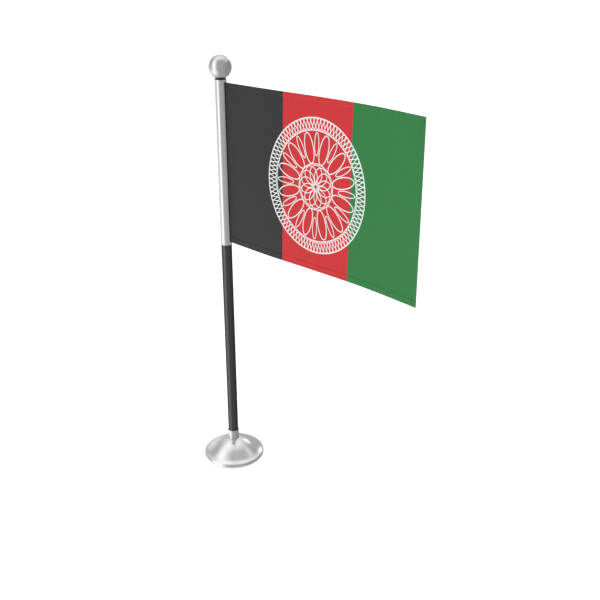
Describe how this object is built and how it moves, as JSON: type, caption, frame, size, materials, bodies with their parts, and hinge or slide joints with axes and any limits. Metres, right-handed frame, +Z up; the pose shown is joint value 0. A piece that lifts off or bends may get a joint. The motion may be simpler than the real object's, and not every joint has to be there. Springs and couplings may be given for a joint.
{
  "type": "desk flag stand",
  "caption": "Small striped cloth flag on a turning sleeve above a plug-in pole, with a ball finial that screws off and a weighted conical base.",
  "frame": {"origin": "middle of the base's underside, on the table", "axes": "+Z up the pole, +X along the flag from the sleeve to its free edge"},
  "size_m": [0.1728, 0.042, 0.2768],
  "materials": {
    "base_plating": "satin",
    "weight_iron": "matte",
    "pad_felt": "matte",
    "ferrule_plating": "satin",
    "fastener_steel": "satin",
    "pole_black": "satin",
    "black_plastic": "matte",
    "turned_brass": "satin",
    "spindle_steel": "satin",
    "sleeve_aluminium": "satin",
    "bush_nylon": "satin",
    "rod_plastic": "satin",
    "flag_fabric": "matte",
    "ring_rubber": "matte",
    "ball_plating": "satin"
  },
  "bodies": {
    "base": {"base_shell": "base_plating", "base_weight": "weight_iron", "base_pad": "pad_felt", "socket_ferrule": "ferrule_plating", "socket_screw": "fastener_steel", "screw_washer": "fastener_steel"},
    "pole": {"lower_pole": "pole_black", "pole_foot": "black_plastic", "pole_top_plug": "turned_brass", "spindle": "spindle_steel", "thrust_washer": "black_plastic"},
    "turning_sleeve": {"flag_sleeve": "sleeve_aluminium", "lower_bush": "bush_nylon", "upper_bush": "bush_nylon", "hoist_rod": "rod_plastic", "flag_cloth": "flag_fabric"},
    "finial_rider": {"finial_ring": "ring_rubber"},
    "finial": {"finial_insert": "turned_brass", "ball_finial": "ball_plating"}
  },
  "joints": [
    {"name": "pole_lift", "type": "slide", "parent": "base", "child": "pole", "axis": [0, 0, 1], "range_m": [0, 0.0116]},
    {"name": "sleeve_swivel", "type": "hinge", "parent": "pole", "child": "turning_sleeve", "pos_m": [0, 0, 0.2], "axis": [0, 0, 1], "continuous": true},
    {"name": "finial_rise", "type": "slide", "parent": "pole", "child": "finial_rider", "axis": [0, 0, 1], "range_m": [0, 0.005]},
    {"name": "finial_turn", "type": "hinge", "parent": "finial_rider", "child": "finial", "pos_m": [0, 0, 0.2698], "axis": [0, 0, 1], "range_deg": [0, 3600]}
  ],
  "couplings": [
    {"joint": "finial_rise", "follows": "finial_turn", "m_per_rad": 0.000079577}
  ]
}
